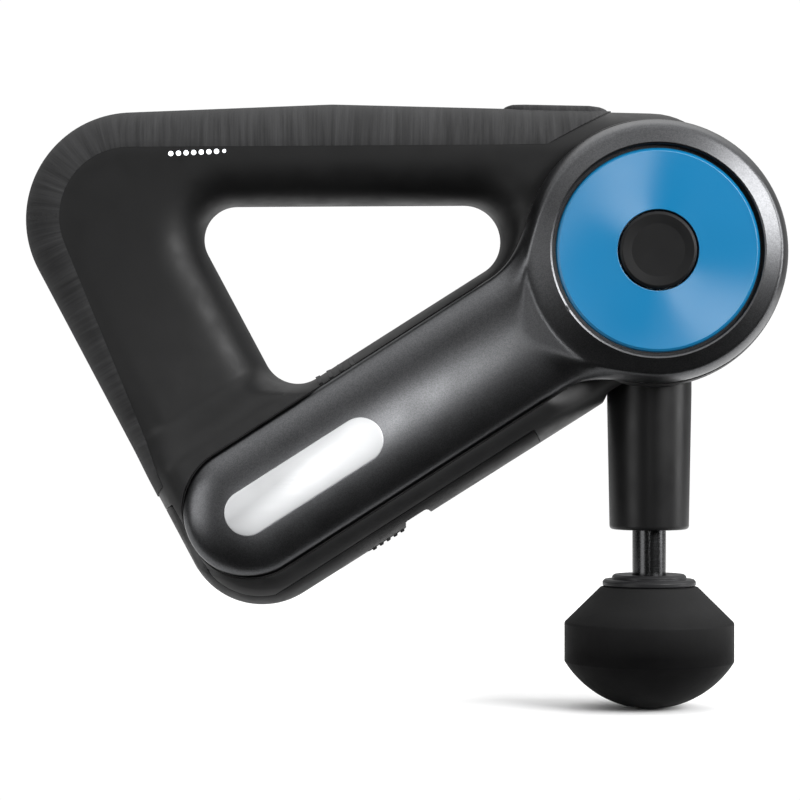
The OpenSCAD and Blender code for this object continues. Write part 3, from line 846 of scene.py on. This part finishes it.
def cover_columns(offset=0.0):
    """Half of the cover's outline, from the arm's tip round to the far side of the ring, with
    the point of its middle line or lip that each outline point looks to."""
    spots, targets = [], []
    for a in np.linspace(0, 90, 26)[:-1]:
        spots.append(on_arc(PILL_R, math.radians(a), PILL_S))
        targets.append((PILL_S, 0))
    for s in np.linspace(PILL_S, NECK_S, 60)[:-1]:
        spots.append((s, PILL_R))
        targets.append((s, 0))
    arm_end = np.array([NECK_S, PILL_R])
    ring_start = np.array(on_arc(RING_R, math.radians(NECK_TURN)))
    straight = NECK_S - LIP_R
    for w in np.linspace(0, 1, 40)[:-1]:
        spots.append(tuple(mix(arm_end, ring_start, w)))
        path = w * (straight + LIP_R * math.radians(LIP_TURN))
        if path < straight:
            targets.append((NECK_S - path, 0))
        else:
            targets.append(on_arc(LIP_R, (path - straight) / LIP_R))
    for w in np.linspace(0, 1, 90):
        spots.append(on_arc(RING_R, math.radians(mix(NECK_TURN, 180, w))))
        targets.append(on_arc(LIP_R, math.radians(mix(LIP_TURN, 180, w))))
    outline = snap_to_outline(from_arm(*np.array(spots).T), offset)
    return outline, from_arm(*np.array(targets).T)


def whole_outline(offset=0.0):
    """Closed outline of the cover, both halves."""
    half, _ = cover_columns(offset)
    s, t = in_arm(half[1:-1][::-1])
    return np.concatenate([half, from_arm(s, -t)])


def ring_height(r):
    """Height of the ring round the disc: a flat cone."""
    return HALF - RING_RIM - RING_FALL * np.clip((r - LIP_R) / (RING_R - LIP_R), 0, 1)


def cover_height(points, outline):
    """Height of the cover's surface above the middle plane."""
    r = np.linalg.norm(points, axis=1)
    arm = ease(r, ARM_FROM, ARM_BLEND)
    top = (1 - arm) * ring_height(r) + arm * COVER_TOP
    width = (1 - arm) * RING_TURN + arm * PILL_R
    return mix(COVER_EDGE, top, rounding(distance_to(outline, points) / width, COVER_POWER))


def cover_skin(name, rows=30):
    """Crowned arm and rounded ring of the front cover, open below and at the lip."""
    outline, inner = cover_columns()
    closed = whole_outline()
    cols = len(outline)
    layers = [np.c_[outline, np.full(cols, COVER_BASE)], np.c_[outline, np.full(cols, COVER_EDGE)]]
    for k in range(1, rows + 1):
        w = 1 - math.cos(math.pi / 2 * k / rows) if k < rows else 1
        p = mix(outline, inner, w)
        layers.append(np.c_[p, cover_height(p, closed)])
    verts, faces = [], []
    for side in (1, -1):
        faces += grid_faces(len(layers), cols, offset=len(verts))
        for layer in layers:
            s, t = in_arm(layer[:, :2])
            verts += [(x, MID - h, z) for (x, z), h in zip(from_arm(s, side * t), layer[:, 2])]
    return mesh_object(name, verts, faces)


def close_skin(skin):
    """Welds the skin's two halves, sinks the recess for the disc and closes the base."""
    bm = bmesh.new()
    bm.from_mesh(skin.data)
    bmesh.ops.remove_doubles(bm, verts=bm.verts, dist=4e-6)
    bmesh.ops.dissolve_degenerate(bm, edges=bm.edges, dist=2e-6)
    loops = [e for e in bm.edges if e.is_boundary]
    lip = [e for e in loops if all(abs(v.co.y - (MID - HALF) * MM) < 3e-4 for v in e.verts)]
    base = [e for e in loops if e not in lip]
    # radius and height of the recess: a small chamfer, the wall and the foot of the wall
    for r, y in ((RECESS_R + 0.15, HALF - 0.35), (RECESS_R, HALF - 0.9), (RECESS_R, RECESS_Y)):
        made = bmesh.ops.extrude_edge_only(bm, edges=lip)["geom"]
        lip = [g for g in made if isinstance(g, bmesh.types.BMEdge)]
        for v in {v for e in lip for v in e.verts}:
            flat = Vector((v.co.x, 0, v.co.z)).normalized() * r * MM
            v.co = Vector((flat.x, (MID - y) * MM, flat.z))
    bmesh.ops.contextual_create(bm, geom=lip)
    bmesh.ops.contextual_create(bm, geom=base)
    bm.to_mesh(skin.data)
    bm.free()
    return tidy_normals(skin)


def cover_solid(name):
    """Front cover with the skirt that grips the head."""
    skin = close_skin(cover_skin(name))
    wall = RING_R - 2
    skirt = lathe("skirt", [(wall, -25, 0), (RING_R, -25, 0), (RING_R, -RING_BACK, 0.3),
                            (wall, -RING_BACK, 0), (wall, -25, 0)])
    inside = lathe("inside", [(0, -28.2, 0), (wall, -28.2, 0.6), (wall, -10, 0), (0, -10, 0)])
    return tidy_normals(cut(join(skin, skirt), inside), COVER_SHARP)


def cover_groove():
    """Tool that sinks the arm part of a cover into its shell, with a fine gap round it."""
    return extruded("groove", whole_outline(COVER_GAP), -FAR, -COVER_BASE + 0.3)


# ---------- pieces of the housing ----------

# [x, z] of the screw holes, their radius, and the height that they start at
SCREWS = ((-166, 14), (-142.5, -53), (-100, 26))
SCREW_R = 3.2
SCREW_Y = 13.0
# Short slots above the arm: centre of the first, step to the next, direction, half sizes
SLOTS = 4
SLOT_FIRST = np.array([-105.0, -39.9])
SLOT_STEP = np.array([10 / 3, 1.9])
SLOT_TURN = TILT - math.radians(8)
SLOT_U = 0.75
SLOT_V = 1.9


def screw_hole(x, z):
    """Tool for one of the rear shell's screw holes."""
    return drum(SCREW_R, SCREW_Y, 40, (x, 0, z), 48)


def short_slot(k):
    """Tool for one of the short slots in the front shell."""
    u = (-math.cos(SLOT_TURN), -math.sin(SLOT_TURN))
    centre = SLOT_FIRST + k * SLOT_STEP
    outline = rectangle(centre, u, (-SLOT_U, SLOT_U), (-SLOT_V, SLOT_V))
    return extruded("short_slot", outline, -40, -18)


shell_front = cut_common(join(handle_half(), head_housing()))
cut(shell_front, cover_groove())
shell_rear = mirrored_in_y(shell_front, "rear_shell")
shell_front.name = "front_shell"
cut(shell_rear, *[screw_hole(x, z) for x, z in SCREWS])
cut(shell_front, *[short_slot(k) for k in range(SLOTS)])
piece(tidy_normals(shell_front), "housing", "shell", "handle_shell_front")
piece(tidy_normals(shell_rear), "housing", "shell", "handle_shell_rear")


def band_columns():
    """Columns of the handle's grid under the band, in order round the top and left bars."""
    x, z = RIM.T
    on_top, on_left = z > 0, x < -140
    keep = np.nonzero((x < BAND_END[0]) & (z > BAND_END[1]) & (on_top | on_left))[0]
    first = np.argmin(np.unwrap(np.arctan2(*(RIM[keep] - HUB).T[::-1])))
    return np.roll(keep, -first)


def band_normals(points, high, rim):
    """Outward direction of the handle's surface at each point under the band."""
    inward, along = np.gradient(points, axis=0), np.gradient(points, axis=1)
    a = np.dstack([inward[..., 0], np.gradient(high, axis=0), inward[..., 1]])
    b = np.dstack([along[..., 0], np.gradient(high, axis=1), along[..., 1]])
    normal = np.cross(b, a)
    normal /= np.maximum(np.linalg.norm(normal, axis=2, keepdims=True), 1e-9)
    normal *= np.sign(normal[..., 1:2] + 1e-12)
    step = np.gradient(rim, axis=0)
    outward = np.c_[step[:, 1], -step[:, 0]] / np.linalg.norm(step, axis=1)[:, None]
    normal[0] = np.c_[outward[:, 0], np.zeros(len(rim)), outward[:, 1]]
    return normal


def both_sides(sheet):
    """Rows of a sheet over the front half, joined at the rim to their mirror at the rear."""
    middle = np.array([0, MID, 0])
    return np.concatenate([sheet[1:][::-1] + middle, sheet * [1, -1, 1] + middle])


def double_faces(rows, cols):
    """Faces of two sheets of rows x cols vertices, one over the other, with their four sides."""
    n = rows * cols
    faces = grid_faces(rows, cols) + [f[::-1] for f in grid_faces(rows, cols, offset=n)]
    for r in range(rows - 1):
        for c in (0, cols - 1):
            k = r * cols + c
            faces.append((k, k + cols, n + k + cols, n + k))
    for c in range(cols - 1):
        for r in (0, rows - 1):
            k = r * cols + c
            faces.append((k, k + 1, n + k + 1, n + k))
    return faces


def band(rows=15, sunk=0.5, thin_edge=0.35):
    """Grip band: a skin on the outer edge of the top and left bars, front and rear."""
    keep = band_columns()
    points, high = GRID[:rows][:, keep], HEIGHT[:rows][:, keep]
    normal = band_normals(points, high, RIM[keep])
    surface = np.dstack([points[..., 0], high, points[..., 1]])
    lift = np.full((rows, len(keep)), SKIN)
    lift[-1] = SKIN * thin_edge
    low = surface - normal * sunk
    low[..., 1] = np.maximum(low[..., 1], 0)
    sheets = [both_sides(surface + normal * lift[..., None]), both_sides(low)]
    arc = along_rim(OUTER, points.reshape(-1, 2)).reshape(rows, -1)
    step = np.sqrt((np.diff(points, axis=0) ** 2).sum(2) + np.diff(high, axis=0) ** 2)
    across = np.concatenate([np.zeros((1, len(keep))), np.cumsum(step, axis=0)])
    place = np.dstack([np.concatenate([arc[1:][::-1], arc]),
                       np.concatenate([-across[1:][::-1], across])])
    uv = place.reshape(-1, 2) * MM
    verts = np.concatenate([sheet.reshape(-1, 3) for sheet in sheets])
    faces = double_faces(*place.shape[:2])
    return tidy_normals(mesh_object("grip_band_skin", verts, faces, np.concatenate([uv, uv])), 60)


piece(band(), "housing", "grip_rubber", "grip_band")


# ---------- covers, with what sits in them ----------

SPOKES = 6
SPOKE_HALF = 1.6
SPOKE_FROM_TO = (12.0, 33.2)
SPOKE_Y = (28.6, HALF - 0.35)
VENT_R = 6.0
VENT_AT = 22.5


def spoke(turn):
    """One spoke of the rear cover's wheel, at a turn in degrees."""
    angle = math.radians(turn)
    u = (math.cos(angle), math.sin(angle))
    outline = rectangle((0, 0), u, SPOKE_FROM_TO, (-SPOKE_HALF, SPOKE_HALF))
    return extruded("spoke", outline, *SPOKE_Y, 0.3)


def round_vent(turn):
    """Tool for one of the round vents between the spokes, at a turn in degrees."""
    angle = math.radians(turn)
    centre = (VENT_AT * math.cos(angle), 0, VENT_AT * math.sin(angle))
    return drum(VENT_R, 20, 40, centre, 64)


cover_front = cover_solid("front_cover_skin")
cover_rear = mirrored_in_y(cover_front, "rear_cover_skin")
button_hole = drum(12.4, -FAR, 0)
plate_pocket = extruded("pocket", pill(*PLATE_S, PLATE_R + 0.12), -FAR, -COVER_TOP + 0.5)
cut(cover_front, button_hole, plate_pocket)
piece(tidy_normals(cover_front, COVER_SHARP), "housing", "cover", "front_cover")

wheel_hub = lathe("hub", [(0, 28.4, 0), (13, 28.4, 0), (13, HALF, 0.8), (0, HALF, 0)])
turns = [360 / SPOKES * k for k in range(SPOKES)]
join(cover_rear, wheel_hub, *[spoke(turn) for turn in turns])
cut(cover_rear, *[round_vent(turn + 180 / SPOKES) for turn in turns])
piece(tidy_normals(cover_rear, COVER_SHARP), "housing", "cover", "rear_cover")

disc = lathe("blue_disc", [
    (12.6, -30.5, 0), (12.6, -32.2, 0.2), (30.6, -32.2, 0.3), (31.3, -31.7, 0.3),
    (31.6, -31.0, 0.1), (31.6, -30.5, 0), (12.6, -30.5, 0)], count=256)
piece(disc, "housing", "disc", "accent_disc")

plate_outline = pill(*PLATE_S, PLATE_R, 32)
plate = extruded("blank_plate", plate_outline, -COVER_TOP - 0.3, -COVER_TOP + 0.6, 0.22)
piece(tidy_normals(plate, 30), "housing", "plate", "name_plate")

button = lathe("centre_button_cap", [
    (0, -32.5, 0), (8.2, -32.62, 2), (11.1, -32.98, 0.5), (12.0, -32.4, 0.6), (12.0, -29.4, 0),
    (9, -29.4, 0), (9, -31, 0), (4, -31, 0), (4, -25, 0), (0, -25, 0)])
piece(button, "release", "button", "centre_button")


# ---------- battery ----------

# Limits along the arm, across it and below its axis of the finger notch, the latch's pocket
# and the latch key, and the key's ribs along the arm
NOTCH = ((102.9, 112.0), (-21, 21), (29.3, FAR))
POCKET = ((111.8, 126.8), (-9.3, 9.3), (27.5, FAR))
LATCH = ((112.1, 126.5), (-9, 9), (29.2, 31.2))
RIBS = 5
RIB_FIRST = 113.1
RIB_STEP = 2.6
RIB_W = 1.4


def whole_handle():
    """Both halves of the handle as one solid, without the hairline between them."""
    front = handle_half()
    halves = [front, mirrored_in_y(front, "other_half")]
    overlap, near_seam = 0.01 * MM, 0.1 * MM
    for half, past in zip(halves, (overlap, -overlap)):
        for vert in half.data.vertices:
            if abs(vert.co.y - MID * MM) < near_seam:
                vert.co.y = MID * MM + past
        tidy_normals(half)
    return join(*halves)


def battery_solid():
    """Battery: what the handle's shape leaves inside the room of keel and core."""
    room = join(keel_block(), core_block(KEEL_T + 1, bevel=1.2))
    case = boolean(whole_handle(), room, "INTERSECT")
    cut(case, arm_block("notch", *NOTCH, 1.4), arm_block("pocket", *POCKET))
    case.name = "battery_shell"
    return tidy_normals(case)


def latch():
    """Latch key with ribs for the finger."""
    key = arm_block("latch_key", *LATCH, 0.4)
    for k in range(RIBS):
        s = RIB_FIRST + RIB_STEP * k
        join(key, arm_block("rib", (s, s + RIB_W), (-8, 8), (31, 31.8), 0.3))
    return tidy_normals(key)


piece(battery_solid(), "battery", "battery", "battery_case")
piece(latch(), "latch", "button", "battery_latch")


# ---------- drive arm and massage head ----------

sleeve = lathe("sleeve", [
    (11.6, -34, 0), (13.5, -34, 0), (13.5, -44, 0), (12.65, -87.6, 1.3), (7.4, -87.6, 0.5),
    (6.3, -86.4, 0.2), (6.3, -85.6, 0), (9.5, -85.6, 0), (9.5, -43.5, 0), (11.6, -43.5, 0),
    (11.6, -34, 0)], "Z")
piece(sleeve, "arm", "sleeve", "arm_sleeve")

shaft = lathe("shaft_skin", [
    (0, -28.6, 0), (4.9, -28.6, 0.2), (5.35, -29.2, 0.2), (5.35, -117.2, 0.4),
    (4.6, -118.0, 0.2), (0, -118.0, 0)], "Z", count=96)
piece(shaft, "shaft", "shaft_steel", "drive_shaft")

socket = lathe("socket", [
    (5.42, -103.2, 0), (5.6, -102.2, 0.3), (11.2, -102.0, 0.4), (11.85, -102.7, 0.3),
    (11.85, -103.6, 0.3), (14.3, -103.6, 0.3), (14.9, -104.3, 0.5), (14.9, -105.4, 0.3),
    (14.3, -105.8, 0.2), (10, -105.8, 0), (10, -122, 0), (5.42, -122, 0), (5.42, -103.2, 0)], "Z")
piece(socket, "massage_head", "socket_grey", "head_socket")

# The foam's face is a dome, part of a sphere below its widest circle
FOAM_R = 27.1
FOAM_LOW = -144.9
DOME_TOP = -129.8
DOME_H = DOME_TOP - FOAM_LOW
DOME_R = (FOAM_R ** 2 + DOME_H ** 2) / (2 * DOME_H)
DOME_TURN = 57.5
dome = [(DOME_R * math.sin(a), FOAM_LOW + DOME_R * (1 - math.cos(a)), 0)
        for a in np.radians(np.linspace(DOME_TURN, 0, 36))]
foam = lathe("foam_skin", [
    (10, -107, 0), (10, -105.8, 0), (14.6, -105.8, 0.5), (15.6, -106.1, 0.8),
    (FOAM_R, -117.4, 1.3), (FOAM_R, DOME_TOP, 0.9), *dome], "Z", count=160)
piece(foam, "massage_head", "foam", "foam_head")


# ---------- power button and charge lights ----------

# The pad is a pill round two centres on x
PAD_R = 7.0
PAD_ENDS = (-40.0, -20.0)
# Height of the pad's top along x
PAD_X = (-47, -44, -40, -20, -16, -13)
PAD_Z = (47.2, 47.9, 47.95, 47.6, 47.1, 46.3)
# [distance in from the edge, distance down from the top] of the pad's rounded edge
PAD_EDGE = ((0, 3.2), (0, 1.2), (0.25, 0.6), (0.7, 0.25), (1.3, 0.08), (2.2, 0), (4.4, 0))
LIGHTS = 8
LIGHT_FIRST = np.array([-151.5, 30.9])
LIGHT_SPAN = np.array([16.7, 0.8])
LIGHT_R = 0.95
LAST_LIGHT_R = 0.7


def pad_solid(count=72):
    """Raised pad on the band over the switch, sloping down towards both ends."""
    a = np.linspace(0, 2 * np.pi, count, endpoint=False)
    c, s = np.cos(a), np.sin(a)
    layers, spots = [], []
    for inset, drop in PAD_EDGE:
        r = PAD_R - inset
        x, y = np.where(c > 0, PAD_ENDS[1], PAD_ENDS[0]) + r * c, r * s
        top = np.interp(x, PAD_X, PAD_Z)
        layers.append(np.c_[x, y + MID, top - drop - 0.5 * (y / PAD_R) ** 2])
        spots.append(np.c_[x, y])
    n = len(layers)
    faces = grid_faces(n, count, closed=True)
    faces += [tuple(range(count - 1, -1, -1)), tuple((n - 1) * count + i for i in range(count))]
    return tidy_normals(mesh_object("power_pad", np.concatenate(layers), faces,
                                    np.concatenate(spots) * MM), 50)


def charge_light(k):
    """One charge light, set into the handle's surface; the last one is smaller."""
    x, z = LIGHT_FIRST + LIGHT_SPAN * (k / (LIGHTS - 1))
    r = LIGHT_R if k < LIGHTS - 1 else LAST_LIGHT_R
    h = float(handle_height(np.array([[x, z]]))[0])
    return lathe(f"charge_light_{k + 1}", [
        (0, -h - 0.12, 0), (r * 0.8, -h - 0.1, 0.1), (r, -h + 0.15, 0.1), (r, -h + 2.5, 0),
        (0, -h + 2.5, 0)], "Y", (x, 0, z), 32)


piece(pad_solid(), "power", "grip_rubber", "power_button")
piece(charge_light(0), "housing", "led", "battery_leds")
for k in range(1, LIGHTS):
    piece(charge_light(k), "housing", "led")


# ---------- setting, light and camera ----------

# Metres, except for the lens, which is in millimetres
FLOOR_X = (-0.7, 0.55)
FLOOR_Y = (-0.075, 0.7)
CAMERA_AT = (-0.0797, -0.933, -0.0463)
LENS = 126.6


def floor_plane():
    """Floor under the part's lowest point, matt and almost white."""
    height = CAD_BOX[0][2]
    left, right = FLOOR_X
    near, far = FLOOR_Y
    corners = (left, near), (right, near), (right, far), (left, far)
    mesh = bpy.data.meshes.new("floor")
    mesh.from_pydata([(x, y, height) for x, y in corners], [], [(0, 1, 2, 3)])
    matt = Material("floor_paint", (0.9,) * 3, 0.9, Specular_IOR_Level=0.0)
    matt.bump(matt.noise(40, 2), 0.02, 0.1)
    mesh.materials.append(matt.mat)
    return new_object("floor", mesh)


def light(name, kind, at, look, power):
    """A light at a place, turned towards another."""
    data = bpy.data.lights.new(name, kind)
    data.energy = power
    lamp = new_object(name, data)
    lamp.location = at
    lamp.rotation_euler = (Vector(look) - Vector(at)).to_track_quat("-Z", "Y").to_euler()
    return data


def panel(name, at, look, size, power):
    """A rectangular soft light."""
    data = light(name, "AREA", at, look, power)
    data.shape = "RECTANGLE"
    data.size, data.size_y = size


def soft_spot(name, at, look, cone, radius, power):
    """A round light that fades out towards the edge of its cone."""
    data = light(name, "SPOT", at, look, power)
    data.spot_size = math.radians(cone)
    data.spot_blend = 1.0
    data.shadow_soft_size = radius


def studio():
    """Plain surroundings: white to look at, and as light strong overhead and dim in front."""
    world = bpy.data.worlds.new("studio")
    world.use_nodes = True
    node, link = world.node_tree.nodes.new, world.node_tree.links.new
    split = node("ShaderNodeSeparateXYZ")
    link(node("ShaderNodeTexCoord").outputs["Generated"], split.inputs[0])

    def ramp(output, *limits):
        """Light as a direction's Y or Z grows; limits are its two ends and the light there."""
        made = node("ShaderNodeMapRange")
        made.interpolation_type = "SMOOTHSTEP"
        for key, value in zip(RANGE_INPUTS, limits):
            made.inputs[key].default_value = value
        link(split.outputs[output], made.inputs["Value"])
        return made.outputs["Result"]

    total = node("ShaderNodeMath")
    link(ramp("Y", -0.1, 0.9, 0.03, 0.4), total.inputs[0])
    link(ramp("Z", 0.3, 0.9, 0.0, 1.75), total.inputs[1])
    choice = node("ShaderNodeMix")
    link(node("ShaderNodeLightPath").outputs["Is Camera Ray"], choice.inputs["Factor"])
    link(total.outputs[0], choice.inputs["A"])
    choice.inputs["B"].default_value = 1.02
    background = world.node_tree.nodes["Background"]
    background.inputs["Color"].default_value = (1, 1, 1, 1)
    link(choice.outputs["Result"], background.inputs["Strength"])
    return world


floor_plane()
panel("upper_left", (-0.5, -0.72, 0.6), (-0.06, -0.03, -0.02), (0.7, 0.6), 0.9)
panel("right_front", (0.63, -0.73, 0.32), (0, -0.03, 0), (0.55, 0.5), 13)
panel("right", (0.8, -0.1, 0.16), (0, -0.03, 0), (0.3, 0.6), 5)
panel("left", (-0.86, -0.7, 0.0), (-0.1, -0.03, -0.03), (0.5, 0.6), 3.4)
soft_spot("front", (-0.1, -1.05, -0.06), (-0.11, -0.03, -0.068), 12.5, 0.05, 10)
bpy.context.scene.world = studio()

camera = new_object("camera", bpy.data.cameras.new("camera"))
camera.location = CAMERA_AT
camera.rotation_euler = (math.radians(90), 0, 0)
camera.data.lens = LENS
camera.data.sensor_width = 36
bpy.context.scene.camera = camera
bpy.context.scene.view_settings.view_transform = "Standard"
